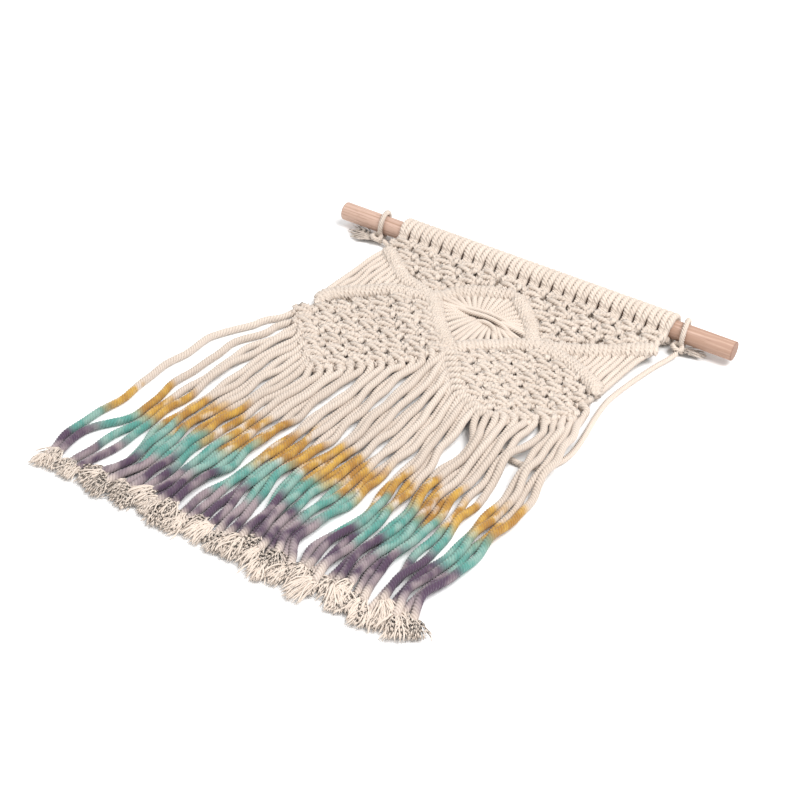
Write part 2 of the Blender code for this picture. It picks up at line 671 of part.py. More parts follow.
def build_tie(name, across, tail, parts, helpers):
    """One loop round the rod, the knot in front of it and the cord's frayed end."""
    major = ROD_RADIUS + GAP + CORD_RADIUS + 0.12
    bpy.ops.mesh.primitive_torus_add(location=world(across, 0, ROD_HEIGHT),
                                     rotation=(0, math.pi / 2, 0), major_radius=major * MM,
                                     minor_radius=CORD_RADIUS * MM, major_segments=20,
                                     minor_segments=7)
    ring = bpy.context.object
    ring.name = name
    for owner in list(ring.users_collection):
        owner.objects.unlink(ring)
    parts.objects.link(ring)
    ring.data.materials.append(material(COTTON))
    centre = (across, TIE_KNOT_DOWN, TIE_KNOT_HEIGHT)
    shape = bmesh.new()
    bmesh.ops.create_uvsphere(shape, u_segments=10, v_segments=7, radius=1.0)
    bmesh.ops.scale(shape, vec=[half * MM for half in TIE_KNOT], verts=shape.verts)
    mesh = bpy.data.meshes.new(name + "_knot")
    shape.to_mesh(mesh)
    shape.free()
    knot = add_object(name + "_knot", mesh, None, helpers)
    knot.location = world(*centre)
    pieces = [knot]
    for i, (tip, radius) in enumerate(tail):
        end = tuple(c + t for c, t in zip(centre, tip))
        root = (centre[0] + tip[0] * 0.12, centre[1] + tip[1] * 0.12, centre[2] + tip[2] * 0.5)
        pieces.append(spike("%s_end_%d" % (name, i), root, end, radius, helpers))
    fuse(ring, pieces, helpers)
    return ring


def build_hanging_cord(parts):
    route = smooth_curve([world(*point) for point in CORD_ROUTE], CORD_STEP * MM)
    curve = bpy.data.curves.new("hanging_cord", "CURVE")
    curve.dimensions = "3D"
    line = curve.splines.new("POLY")
    line.points.add(len(route) - 1)
    for point, place in zip(line.points, route):
        point.co = (*place, 1.0)
    curve.bevel_depth = CORD_RADIUS * MM
    curve.bevel_resolution = 2
    curve.use_fill_caps = True
    return add_object("hanging_cord", curve, COTTON, parts)


def build():
    for old in list(bpy.data.objects):
        bpy.data.objects.remove(old, do_unlink=True)
    parts = new_collection("macrame_wall_hanging")
    helpers = new_collection("helpers")
    build_dowel(parts)
    build_heading(parts)
    build_panel(parts)
    half = STRANDS // 2
    build_fringe("fringe_left", range(half), parts)
    build_fringe("fringe_right", range(half, STRANDS), parts)
    build_tie("tie_left", TIE_LEFT_ACROSS, TAIL_LEFT, parts, helpers)
    build_tie("tie_right", TIE_RIGHT_ACROSS, TAIL_RIGHT, parts, helpers)
    build_hanging_cord(parts)


build()
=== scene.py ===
"""A macrame wall hanging on its dowel rod, lying on its back on a pale table.

Places on the cloth are (across, down, height) in millimetres: across from the cloth's left edge,
down from the rod's axis towards the fringe, height above the table.
"""
import math

import bpy
import numpy as np
from mathutils import Matrix, Vector
from mathutils.geometry import delaunay_2d_cdt


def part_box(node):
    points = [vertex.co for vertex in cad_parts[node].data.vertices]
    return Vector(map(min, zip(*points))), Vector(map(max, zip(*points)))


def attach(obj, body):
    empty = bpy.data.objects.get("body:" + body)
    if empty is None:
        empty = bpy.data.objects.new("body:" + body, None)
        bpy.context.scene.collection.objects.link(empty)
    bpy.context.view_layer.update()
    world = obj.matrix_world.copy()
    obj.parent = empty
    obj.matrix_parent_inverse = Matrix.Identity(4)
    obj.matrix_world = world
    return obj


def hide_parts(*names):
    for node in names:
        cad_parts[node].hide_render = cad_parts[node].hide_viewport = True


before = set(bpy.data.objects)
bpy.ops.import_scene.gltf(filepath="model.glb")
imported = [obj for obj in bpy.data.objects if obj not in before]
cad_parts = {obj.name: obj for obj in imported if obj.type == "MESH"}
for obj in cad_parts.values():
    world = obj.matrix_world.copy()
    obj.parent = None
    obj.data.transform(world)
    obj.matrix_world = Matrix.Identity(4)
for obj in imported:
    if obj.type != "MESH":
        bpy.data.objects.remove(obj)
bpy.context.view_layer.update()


# ------------------------------------------------------------------ the camera
# One view from the right front and above, rolled a little, as a hand-held picture is. The frame
# is square.
eye = bpy.data.cameras.new("eye")
eye.lens = 71.96
eye.sensor_width = 36.0
eye.clip_start = 0.02
eye.clip_end = 20.0
camera = bpy.data.objects.new("eye", eye)
bpy.context.collection.objects.link(camera)
stand = (0.39371, -0.69478, 0.54856)
right, upward = (0.84548, 0.52936, 0.07030), (-0.34911, 0.44831, 0.82288)
back = (0.40409, -0.72028, 0.56384)
camera.matrix_world = (Matrix.Translation(stand)
                       @ Matrix((right, upward, back)).transposed().to_4x4())
bpy.context.scene.camera = camera
bpy.context.scene.view_settings.view_transform = "Standard"


# ------------------------------------------------------------------ the hanging cord
# One cotton cord of four plies, 4 mm thick, from the right tie along the cloth's edge and then
# hidden under it to the left tie. It is tied on at both ends and lies loose on the table.
CORD_RADIUS = 2.0
TABLE_CORD = CORD_RADIUS + 0.1
CORD_ROUTE = [
    (217.4, 15.3, 4.2), (214.8, 23, 2.6), (211.8, 34, TABLE_CORD), (209.4, 47, TABLE_CORD),
    (206.8, 64, TABLE_CORD), (205.2, 77, TABLE_CORD), (204.4, 88, TABLE_CORD),
    (204.6, 97, TABLE_CORD), (206.0, 110, TABLE_CORD), (209.2, 131, TABLE_CORD),
    (211.2, 150, TABLE_CORD), (209.6, 166, TABLE_CORD), (201, 178, TABLE_CORD),
    (185, 180, TABLE_CORD), (168, 169, TABLE_CORD), (147, 148, TABLE_CORD),
    (120, 121, TABLE_CORD), (92, 96, TABLE_CORD), (62, 74, TABLE_CORD), (34, 54, TABLE_CORD),
    (12, 33, TABLE_CORD), (1.5, 19, TABLE_CORD), (-5, 12, 2.8), (-11.2, 9.8, 4.2),
]
HIDDEN_FROM = 10           # the first of these points that is under the cloth
CORD_STEP = 9.5            # between two points of the cord's path
LAY = 1.7                  # one turn of the plies, in cord diameters
PLIES = 4
TAPER = 1.2                # how far in from its ends a cord narrows, in cord radii
LEAST_HEIGHT = 0.00002     # in metres: no point of a cord is lower, so that none is in the table

# The rod's axis: its y in metres, and its height above the table in millimetres.
rod_low, rod_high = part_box("dowel")
ROD_Y = (rod_low[1] + rod_high[1]) / 2
ROD_HEIGHT = (rod_low[2] + rod_high[2]) / 2 * 1000
CLOTH_LEFT = rod_low[0] + 0.050
chance = np.random.default_rng(11)


def metres(points):
    """Places on the cloth as points in metres."""
    points = np.asarray(points, float)
    return np.stack([CLOTH_LEFT + points[..., 0] / 1000, ROD_Y - points[..., 1] / 1000,
                     points[..., 2] / 1000], -1)


def eased(t):
    """From 0 to 1 as t does, with a slow start and a slow end."""
    t = np.clip(t, 0.0, 1.0)
    return t * t * (3 - 2 * t)


def evened(points, step):
    """Points a step apart along a smooth curve through the given ones."""
    points = np.asarray(points, float)
    ends = np.vstack([2 * points[0] - points[1], points, 2 * points[-1] - points[-2]])
    t = np.linspace(0, 1, 8, endpoint=False)[:, None]
    runs = [0.5 * (2 * b + (c - a) * t + (2 * a - 5 * b + 4 * c - d) * t ** 2
                   + (3 * b - a - 3 * c + d) * t ** 3)
            for a, b, c, d in zip(ends, ends[1:], ends[2:], ends[3:])]
    line = np.vstack(runs + [points[-1:]])
    far = np.concatenate([[0], np.cumsum(np.linalg.norm(np.diff(line, axis=0), axis=1))])
    at = np.linspace(0, far[-1], max(2, round(far[-1] / step)) + 1)
    return np.stack([np.interp(at, far, line[:, i]) for i in range(3)], 1)


def twisted(points, radius, columns=12, steps=8, groove=0.36, pressed=0.0, ends=(1.0, 1.0)):
    """A plied cord along a route: its points ring by ring, its faces, its UVs and its tone.

    The columns of faces follow the plies, so that each ply is a rounded ridge. pressed squares
    the cord off, as where it lies tight beside others, and ends gives the share of the radius
    at its two ends.
    """
    lay = LAY * 2 * radius
    line = metres(evened(points, lay / steps)) * 1000
    along = np.gradient(line, axis=0)
    along /= np.linalg.norm(along, axis=1)[:, None]
    side = np.cross(along[0], (0.0, 0.0, 1.0))
    if np.linalg.norm(side) < 0.1:
        side = np.cross(along[0], (1.0, 0.0, 0.0))
    sides = []
    for direction in along:
        side = side - direction * side.dot(direction)
        side = side / np.linalg.norm(side)
        sides.append(side)
    sides = np.array(sides)
    above = np.cross(sides, along)
    far = np.concatenate([[0], np.cumsum(np.linalg.norm(np.diff(line, axis=0), axis=1))])
    turn = far / lay + chance.random()
    column = np.arange(columns)
    share = column % (columns // PLIES) / (columns // PLIES)
    ply = radius * (1 - groove * (1 + np.cos(2 * math.pi * share)) / 2)
    angle = 2 * math.pi * (column[None] / columns + turn[:, None])
    ease_in = np.minimum(1, far / (TAPER * radius)) * (1 - ends[0]) + ends[0]
    ease_out = np.minimum(1, (far[-1] - far) / (TAPER * radius)) * (1 - ends[1]) + ends[1]
    reach = ply[None] * np.minimum(ease_in, ease_out)[:, None]
    squared = (np.cos(angle) ** 4 + np.sin(angle) ** 4) ** -0.25
    reach = reach * (1 + pressed * (squared - 1))
    offset = (sides[:, None] * (np.cos(angle) * reach)[..., None]
              + above[:, None] * (np.sin(angle) * reach)[..., None])
    rings, count = line[:, None] + offset, len(line)
    row, col = np.meshgrid(np.arange(count - 1), column, indexing="ij")
    row, col, after = row.ravel(), col.ravel(), (col.ravel() + 1) % columns
    walls = np.stack([row * columns + col, (row + 1) * columns + col,
                      (row + 1) * columns + after, row * columns + after], 1)
    k = np.arange(columns // 2 - 1)
    cap = np.stack([k, k + 1, columns - 2 - k, columns - 1 - k], 1)
    faces = np.vstack([walls, cap, cap[:, ::-1] + (count - 1) * columns])
    wall_uv = np.stack([np.stack([turn[row], col / columns], 1),
                        np.stack([turn[row + 1], col / columns], 1),
                        np.stack([turn[row + 1], (col + 1) / columns], 1),
                        np.stack([turn[row], (col + 1) / columns], 1)], 1)
    cap_uv = np.zeros((2 * len(cap), 4, 2))
    tone = np.full(count * columns, chance.random())
    return rings.reshape(-1, 3) / 1000, faces, np.vstack([wall_uv, cap_uv]), tone


def gathered(name, cords, finish, *nodes):
    """One piece made of many cords, which stands for the given CAD nodes, if there are any."""
    starts = np.cumsum([0] + [len(cord[0]) for cord in cords])
    points = np.vstack([cord[0] for cord in cords])
    points[:, 2] = np.maximum(points[:, 2], LEAST_HEIGHT)
    faces = np.vstack([cord[1] + start for cord, start in zip(cords, starts)]).astype(np.int32)
    mesh = bpy.data.meshes.new(name)
    mesh.vertices.add(len(points))
    mesh.vertices.foreach_set("co", points.astype(np.float32).ravel())
    mesh.loops.add(faces.size)
    mesh.loops.foreach_set("vertex_index", faces.ravel())
    mesh.polygons.add(len(faces))
    mesh.polygons.foreach_set("loop_start", np.arange(0, faces.size, 4, dtype=np.int32))
    mesh.update(calc_edges=True)
    mesh.shade_smooth()
    uv = np.vstack([cord[2] for cord in cords]).astype(np.float32)
    mesh.uv_layers.new(name="along").data.foreach_set("uv", uv.ravel())
    tone = mesh.attributes.new("tone", "FLOAT", "POINT")
    tone.data.foreach_set("value", np.concatenate([cord[3] for cord in cords]).astype(np.float32))
    piece = bpy.data.objects.new(name, mesh)
    bpy.context.collection.objects.link(piece)
    mesh.materials.append(finish)
    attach(piece, "root")
    if nodes:
        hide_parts(*nodes)
    return piece


class Amount:
    """A number that changes over the surface, and is added and multiplied as a plain one is."""

    def __init__(self, finish, socket):
        self.finish, self.socket = finish, socket

    def joined(self, operation, *values):
        values = [v.socket if isinstance(v, Amount) else v for v in values]
        made = self.finish.node("Math", {"operation": operation}, *values)
        return Amount(self.finish, made.outputs[0])

    def __add__(self, other):
        return self.joined("ADD", self, other)

    def __sub__(self, other):
        return self.joined("SUBTRACT", self, other)

    def __rsub__(self, other):
        return self.joined("SUBTRACT", other, self)

    def __mul__(self, other):
        return self.joined("MULTIPLY", self, other)

    def __pow__(self, other):
        return self.joined("POWER", self, other)

    def sine(self):
        return self.joined("SINE", self)

    def between(self, low, high):
        """0 below low, 1 above high, and eased in between."""
        made = self.finish.node("MapRange", {"interpolation_type": "SMOOTHSTEP"},
                                self, low, high, 0.0, 1.0)
        return Amount(self.finish, made.outputs[0])


class Finish:
    """The nodes of one material."""

    def __init__(self, name, roughness, sheen=0.0):
        self.material = bpy.data.materials.new(name)
        self.material.use_nodes = True
        self.tree = self.material.node_tree
        self.shader = self.tree.nodes["Principled BSDF"]
        self.shader.inputs["Roughness"].default_value = roughness
        self.shader.inputs["Sheen Weight"].default_value = sheen
        self.shader.inputs["Specular IOR Level"].default_value = 0.25

    def node(self, kind, settings, *values, **named):
        """A node of a kind, with its settings, then what its sockets hold, in order or named."""
        made = self.tree.nodes.new("ShaderNode" + kind)
        for key, value in settings.items():
            setattr(made, key, value)
        for key, value in list(enumerate(values)) + list(named.items()):
            socket = made.inputs[key if isinstance(key, int) else key.replace("_", " ")]
            value = value.socket if isinstance(value, Amount) else value
            if isinstance(value, bpy.types.NodeSocket):
                self.tree.links.new(value, socket)
            elif value is not None:
                socket.default_value = value
        return made

    def object_place(self):
        """Across, down and height, in millimetres, as on the cloth."""
        place = self.node("TexCoord", {}).outputs["Object"]
        split = self.node("SeparateXYZ", {}, place)
        return [(Amount(self, split.outputs[0]) - CLOTH_LEFT) * 1000,
                (ROD_Y - Amount(self, split.outputs[1])) * 1000,
                Amount(self, split.outputs[2]) * 1000]

    def noise(self, scale, detail=2.0, vector=None):
        """Soft random patches, about one to each 1 / scale of the vector's length."""
        vector = vector or self.node("TexCoord", {}).outputs["Object"]
        made = self.node("TexNoise", {}, Vector=vector, Scale=scale, Detail=detail)
        return Amount(self, made.outputs["Fac"])

    def vector(self, *values):
        return self.node("CombineXYZ", {}, *values).outputs[0]

    def tinted(self, amount, low, high):
        """A colour between two, as an amount goes from 0 to 1."""
        made = self.node("Mix", {"data_type": "RGBA"})
        for key, value in (("Factor_Float", amount), ("A_Color", low), ("B_Color", high)):
            socket = next(s for s in made.inputs if s.identifier == key)
            value = value.socket if isinstance(value, Amount) else value
            if isinstance(value, bpy.types.NodeSocket):
                self.tree.links.new(value, socket)
            else:
                socket.default_value = value
        return next(s for s in made.outputs if s.identifier == "Result_Color")

    def colour(self, socket):
        self.tree.links.new(socket, self.shader.inputs["Base Color"])

    def raised(self, height, distance, strength):
        """Small bumps in the surface, as high as the distance in metres."""
        made = self.node("Bump", {}, Strength=strength, Distance=distance, Height=height)
        self.tree.links.new(made.outputs[0], self.shader.inputs["Normal"])


CREAM, CREAM_SHADE = (0.69, 0.595, 0.515, 1), (0.49, 0.40, 0.33, 1)
CREAM_LIGHT = (0.75, 0.665, 0.59, 1)
COTTON_ROUGHNESS, COTTON_SHEEN = 0.95, 0.25
COTTON_RELIEF = 0.0005


def plied(finish):
    """The fibres along a cord's plies, and how near a point is to a groove between two plies."""
    along = finish.node("UVMap", {"uv_map": "along"}).outputs[0]
    split = finish.node("SeparateXYZ", {}, along)
    turn, round_it = Amount(finish, split.outputs[0]), Amount(finish, split.outputs[1])
    angle = round_it * (2 * math.pi)
    wound = finish.vector(angle.sine() * 2.0, (angle + math.pi / 2).sine() * 2.0, turn * 1.5)
    fibres = finish.noise(3.2, 3.0, wound)
    groove = ((angle * PLIES + math.pi / 2).sine() + 1) * 0.5
    return fibres, groove


def natural_cotton(name, relief):
    """Undyed cotton cord: cream, matt, with fibres along each ply and a little fluff."""
    finish = Finish(name, COTTON_ROUGHNESS, COTTON_SHEEN)
    fibres, groove = plied(finish)
    fluff = finish.noise(1500.0, 2.0)
    strand = Amount(finish, finish.node("Attribute", {"attribute_name": "tone"}).outputs["Fac"])
    patch = finish.noise(38.0, 2.0)
    # Painted shade: the grooves between the plies are coloured darker, mixed with the fibres',
    # patches' and strand's own tone.
    groove_shade_and_tone = (groove ** 3) * 0.45 + (fibres - 0.5) * 0.6 + (0.5 - patch) * 0.5 + strand * 0.2
    base = finish.tinted(groove_shade_and_tone, CREAM, CREAM_SHADE)
    finish.colour(finish.tinted(fluff.between(0.5, 0.85) * 0.5, base, CREAM_LIGHT))
    finish.raised(fibres * 0.6 + fluff * 0.4 - (groove ** 2) * 0.5, relief, 0.7)
    return finish.material


cotton = natural_cotton("cotton", COTTON_RELIEF)
cord_line = evened(CORD_ROUTE, CORD_STEP)
cord = gathered("hanging_cord_rope", [twisted(cord_line, CORD_RADIUS)], cotton, "hanging_cord")


# ------------------------------------------------------------------ the dowel rod
# A plain round beech rod, 13 mm thick and 300 mm long, sanded and left bare, with sawn ends.
ROD_RADIUS = 6.5
ROD_LENGTH = 300.0
ROD_MIDDLE = 100.0         # where the rod's middle is, across
BEECH_LIGHT, BEECH_DARK = (0.56, 0.39, 0.315, 1), (0.38, 0.24, 0.18, 1)
BEECH_RING, BEECH_FLECK = (0.40, 0.25, 0.175, 1), (0.30, 0.18, 0.12, 1)
BEECH_SAWN = (0.25, 0.145, 0.11, 1)

bpy.ops.object.select_all(action="DESELECT")
bpy.ops.mesh.primitive_cylinder_add(vertices=96, radius=ROD_RADIUS / 1000,
                                    depth=ROD_LENGTH / 1000, rotation=(0, math.pi / 2, 0),
                                    location=(0, ROD_Y, ROD_HEIGHT / 1000))
rod = bpy.context.object
rod.name = "dowel_wood"
bpy.ops.object.transform_apply(location=True, rotation=True, scale=True)
edge = rod.modifiers.new("worn edge", "BEVEL")
edge.width, edge.segments, edge.limit_method = 0.0007, 3, "ANGLE"
bpy.ops.object.modifier_apply(modifier="worn edge")
bpy.ops.object.shade_smooth_by_angle(angle=math.radians(35))


def beech():
    """Pinkish tan beech: long streaks of grain with short dark flecks, rings on the ends.

    Towards the rod's right end the colour is painted a little darker, as painted shade.
    """
    finish = Finish("beech", 0.62)
    across, down, height = finish.object_place()
    grain = finish.noise(1.0, 4.0, finish.vector(across * 0.02, down * 0.75, height * 0.75))
    flecks = finish.noise(1.0, 2.0, finish.vector(across * 0.16, down * 2.6, height * 2.6))
    rings = ((finish.noise(1.0, 1.0, finish.vector(0.0, down * 0.16, height * 0.10)) * 46).sine()
             * 0.5 + 0.5)
    # The grain is shifted darker towards the right end: painted shade.
    grain_and_painted_shade = (grain + (across - 90.0) * 0.0007).between(0.38, 0.62)
    tint = finish.tinted(grain_and_painted_shade, BEECH_LIGHT, BEECH_DARK)
    tint = finish.tinted(rings * 0.30, tint, BEECH_RING)
    tint = finish.tinted(flecks.between(0.58, 0.70) * 0.6, tint, BEECH_FLECK)
    # The sawn ends are darker, most of all round their edges.
    end, out = ROD_LENGTH / 2, (across - ROD_MIDDLE) ** 2
    sawn = (out.between((end - 1.0) ** 2, (end - 0.3) ** 2)
            - out.between((end - 0.2) ** 2, end ** 2) * 0.35)
    finish.colour(finish.tinted(sawn * 0.8, tint, BEECH_SAWN))
    finish.raised(grain * 0.6 - flecks.between(0.6, 0.75) * 0.5, 0.0003, 0.5)
    return finish.material


rod.data.materials.append(beech())
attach(rod, "root")
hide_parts("dowel")


# ------------------------------------------------------------------ the heading
# Twenty-four cotton cords, each folded in half and put on the rod as a lark's head: its two
# strands lie side by side over the rod, with a slit before the next cord's pair. Nothing else
# holds them.
CLOTH_WIDTH = 208.0
STRANDS = 48
PITCH = CLOTH_WIDTH / STRANDS
WRAP_RADIUS = 2.4
LOW_APART, TOP_GROWTH = 1.4, 0.76   # half the pair's spacing low in front, and its growth above
FOLD_RADIUS = 1.9                   # of the cord's fold, which crosses in front of its pair


def wrapped_strand(across, lean):
    """One strand up over the rod, down behind it and forward under it."""
    ring = ROD_HEIGHT - WRAP_RADIUS
    near = across + lean * 1.55
    points = [(near, 17.0, 9.4), (near, 12.6, 10.2)]
    for degrees in range(14, 340, 16):
        angle = math.radians(degrees)
        apart = LOW_APART + TOP_GROWTH * eased((degrees - 14.0) / 42.0)
        points.append((across + lean * apart, ring * math.cos(angle),
                       ROD_HEIGHT + ring * math.sin(angle)))
    return points


heads = []
for pair in range(STRANDS // 2):
    middle = (2 * pair + 1) * PITCH
    for lean in (-1, 1):
        jitter = chance.normal(0, 0.12)
        heads.append(twisted(wrapped_strand(middle + jitter, lean), WRAP_RADIUS,
                             groove=0.2, pressed=0.9))
    heads.append(twisted([(middle - 2.6, 7.0, 3.6), (middle, 8.2, 4.0), (middle + 2.6, 7.0, 3.6)],
                         FOLD_RADIUS, columns=8, steps=5))
gathered("lark_heads", heads, cotton, "heading")


# ------------------------------------------------------------------ the ties
# The hanging cord's two ends, of the same cotton, each looped once round the bare rod and
# knotted below it, with a short tail that has come apart into fluffy plies.
TIES = [
    # name, across, the tail's tips (across, down, height) from the knot
    ("tie_left", -16.6, [(-25.0, -7.5, -1.6), (-26.0, -1.0, -2.6), (-20.0, 5.0, -2.6)]),
    ("tie_right", 215.2, [(18.0, -8.5, -2.6), (14.0, -5.0, -2.6)]),
]
# The knot's route, as (across, down, height) from its middle.
TIE_KNOT = [(-4.2, -1.5, -0.6), (-2.4, -2.6, 1.6), (0.6, -2.4, 2.2), (2.8, -0.8, 1.4),
            (2.2, 1.6, 0.4), (-0.4, 2.6, 1.0), (-2.8, 1.6, 1.8), (-2.9, -0.8, 0.4),
            (-0.8, -2.2, -1.4), (2.2, -1.4, -1.8), (3.8, 0.8, -0.6)]
TIE_KNOT_DOWN, TIE_KNOT_HEIGHT = 10.2, 4.4
LOOP_CLEAR, LOOP_TILT = 0.42, 1.6
TAIL_LOCKS, TAIL_SPREAD, TAIL_RADIUS = 22, 3.4, 0.42
LOCK_STEPS = 6             # rings of faces along one lock of fibres


def fluff(root, tip, count, spread, radius):
    """Loose fibre locks from a root to a tip, fanned out and a little wavy."""
    root, tip = np.array(root, float), np.array(tip, float)
    along = tip - root
    length = np.linalg.norm(along)
    across = np.array([-along[1], along[0], 0.0]) / max(1e-6, np.hypot(*along[:2]))
    made = []
    for _ in range(count):
        fan = min(1.0, max(-1.0, chance.normal(0, 0.5)))
        high, reach = chance.random(), 1 - 0.45 * chance.random()
        wave, points = 0.0, []
        for t in np.linspace(0, 1, 5):
            wave += chance.normal(0, 0.16) * spread * min(1, t * 4)
            place = (root + along * t * reach + across * (fan * spread * (0.3 + t) + wave)
                     + np.array([0, 0, high * spread * 1.3 * t * (1.2 - t)]))
            place[2] = max(place[2], radius + 0.05)
            points.append(place)
        made.append(twisted(points, radius, columns=4, groove=0.0, ends=(1.0, 0.15),
                            steps=LAY * 2 * radius * LOCK_STEPS / length))
    return made


for name, across, tips in TIES:
    ring = ROD_RADIUS + LOOP_CLEAR + CORD_RADIUS
    loop = [(across + LOOP_TILT * math.cos(a), ring * math.cos(a),
             ROD_HEIGHT + ring * math.sin(a)) for a in np.linspace(-0.9, 2 * math.pi - 0.9, 25)]
    middle = (across, TIE_KNOT_DOWN, TIE_KNOT_HEIGHT)
    knot = [[m + k for m, k in zip(middle, place)] for place in TIE_KNOT]
    cords = [twisted(loop, CORD_RADIUS), twisted(knot, CORD_RADIUS)]
    for tip in tips:
        root = [m + share * t for m, share, t in zip(middle, (0.1, 0.1, 0.4), tip)]
        end = [m + t for m, t in zip(middle, tip)]
        cords += fluff(root, end, TAIL_LOCKS, TAIL_SPREAD, TAIL_RADIUS)
    gathered(name + "_cord", cords, cotton, name)


# ------------------------------------------------------------------ the cloth's ground
# Where the knots press together the cotton strands form one closed layer. It has the cloth's
# outline and gaps beside the bars, hangs from the heading and lies on the table and over the
# hanging cord.
PANEL_TOP = 11.6
KNOT_THICK = 8.8
ROD_LIFT, LIFT_ENDS = 6.0, 70.0      # the cloth comes down from the rod over this distance
CORD_LIFT, LIFT_NEAR, LIFT_WIDE = 4.7, 10.0, 22.0    # and down from the hanging cord to each side
SIDE_INSET, HEM_OUTSET = 2.0, 1.5    # of the layer's outline, behind its strands
GROUND_STEP, EDGE_CLEAR = 4.0, 1.5
LOOSE_HEIGHT, FIELD_HEIGHT, GROUND_THICK = 1.2, 3.2, 0.9
SEAM_CLEAR = 3.0
TOP_LEFT, TOP_MIDDLE, TOP_RIGHT = (3.5, 28.2), (105.0, 27.4), (207.1, 29.1)
CROSS_LEFT, CROSS_RIGHT, CROSS_LOW = (59.7, 62.4), (141.6, 67.4), (102.2, 108.9)
HEM_LEFT, HEM_RIGHT = (0.1, 108), (196.8, 92)
V_LEFT = [TOP_LEFT, (19.7, 41.3), (34.2, 52.9), CROSS_LEFT, (78.2, 84.4), (90.2, 97.4), CROSS_LOW]
V_RIGHT = [TOP_RIGHT, (188.4, 42.1), (172.5, 52.3), (155.9, 61), CROSS_RIGHT, (126.6, 77),
           (113.8, 93.2), CROSS_LOW]
PEAK_LEFT = [TOP_MIDDLE, (91.7, 31.6), (80.1, 37.3), (69.1, 46.1), CROSS_LEFT, (41.2, 66.9),
             (26.3, 73.8), (10.6, 85.5), (2.1, 96), HEM_LEFT]
PEAK_RIGHT = [TOP_MIDDLE, (116.6, 38), (128.2, 50.2), CROSS_RIGHT, (158.7, 69), (175.8, 75),
              (190.5, 84), HEM_RIGHT]
SIDE_LEFT = [(0.6, 25.5), (-2.8, 41.6), (-5.1, 61.2), (-5.7, 83), (-5.6, 103)]
HEM = [(-3.2, 119.5), (15.4, 141.3), (31.3, 158.7), (46.9, 176), (69.4, 151.4), (86.5, 131.4),
       (100.8, 115), (103.6, 115), (110.8, 124.5), (131.7, 150.3), (153.6, 160.3), (161.4, 159.5),
       (167.6, 156), (175.4, 145.6), (181.5, 134.6), (190.7, 122.1), (195.5, 113.5),
       (198.0, 104.5)]
SIDE_RIGHT = [(198.8, 93.4), (199.8, 84), (200.2, 70), (201.6, 56.5), (203.2, 47.3),
              (204.7, 37.2), (208.1, 28.2)]
# Gaps beside the bars that show the table: (across, down, length, width).
GAPS = [
    (174.4, 55.2, 6, 2.0), (180.2, 52.6, 6, 1.8), (185.6, 49.3, 6, 2.0), (191.5, 45.8, 6, 2.2),
    (195.8, 42.0, 6, 1.6), (199.7, 39.4, 6, 1.6), (168.8, 58.6, 5, 1.4), (163.1, 61.7, 5, 1.2),
    (13.7, 43.0, 5, 1.4), (22.0, 50.0, 5, 1.6), (30.4, 56.6, 5, 1.6), (39.2, 60.0, 4, 1.2),
    (75.0, 50.5, 6, 1.8), (83.5, 42.2, 6, 1.8), (89.0, 39.1, 6, 1.6), (106.7, 36.8, 6, 1.4),
    (118.0, 48.2, 6, 1.6), (86.5, 78.0, 12, 1.6), (99.5, 86.0, 14, 1.8), (108.0, 82.0, 8, 1.2),
    (66.8, 59.0, 6, 1.2), (126.7, 61.2, 6, 1.2),
]
hidden_line = evened([(a, d, 0) for a, d, _ in CORD_ROUTE[HIDDEN_FROM:]], 4.0)[:, :2]


def raised_by(across, down):
    """How far the cloth's underside is off the table, at the rod and over the hanging cord."""
    at_rod = ROD_LIFT * (1 - eased((down - PANEL_TOP) / (LIFT_ENDS - PANEL_TOP)))
    away = np.hypot(hidden_line[:, 0] - across, hidden_line[:, 1] - down).min()
    over_cord = CORD_LIFT * (1 - eased((away - LIFT_NEAR) / LIFT_WIDE))
    return at_rod, over_cord


def on_bed(points):
    """Places whose height is above the cloth's underside, laid on what is under the cloth."""
    laid = []
    for across, down, height in points:
        at_rod, over_cord = raised_by(across, down)
        under, over = max(at_rod, over_cord), max(at_rod, over_cord * 0.5)
        laid.append((across, down, under + height * (1 - (under - over) / KNOT_THICK)))
    return np.array(laid)


def inside(ring, across, down):
    """Whether a place lies inside a closed ring of (across, down) points."""
    odd = False
    for (x0, y0), (x1, y1) in zip(ring, ring[1:] + ring[:1]):
        if (y0 > down) != (y1 > down) and across < x0 + (down - y0) * (x1 - x0) / (y1 - y0):
            odd = not odd
    return odd


def distance_to(line, across, down):
    """From a place to the nearest point of a line of (across, down) points."""
    line = np.asarray(line, float)
    along = line[1:] - line[:-1]
    place = np.array((across, down))
    t = np.clip(((place - line[:-1]) * along).sum(1) / (along ** 2).sum(1), 0, 1)
    return float(np.linalg.norm(line[:-1] + along * t[:, None] - place, axis=1).min())


outline = ([(1.5, PANEL_TOP), (CLOTH_WIDTH - 1.5, PANEL_TOP)]
           + [(a - SIDE_INSET, d) for a, d in SIDE_RIGHT[::-1]]
           + [(a, d + HEM_OUTSET) for a, d in HEM[::-1]]
           + [(a + SIDE_INSET, d) for a, d in SIDE_LEFT[::-1]])
# The diamond and the two side triangles, where the strands hang loose.
loose_fields = [
    PEAK_LEFT[4::-1] + PEAK_RIGHT[1:4] + V_RIGHT[5:] + V_LEFT[-2:3:-1],
    V_LEFT[:4] + PEAK_LEFT[5:] + SIDE_LEFT[::-1],
    V_RIGHT[:5] + PEAK_RIGHT[4:] + SIDE_RIGHT,
]


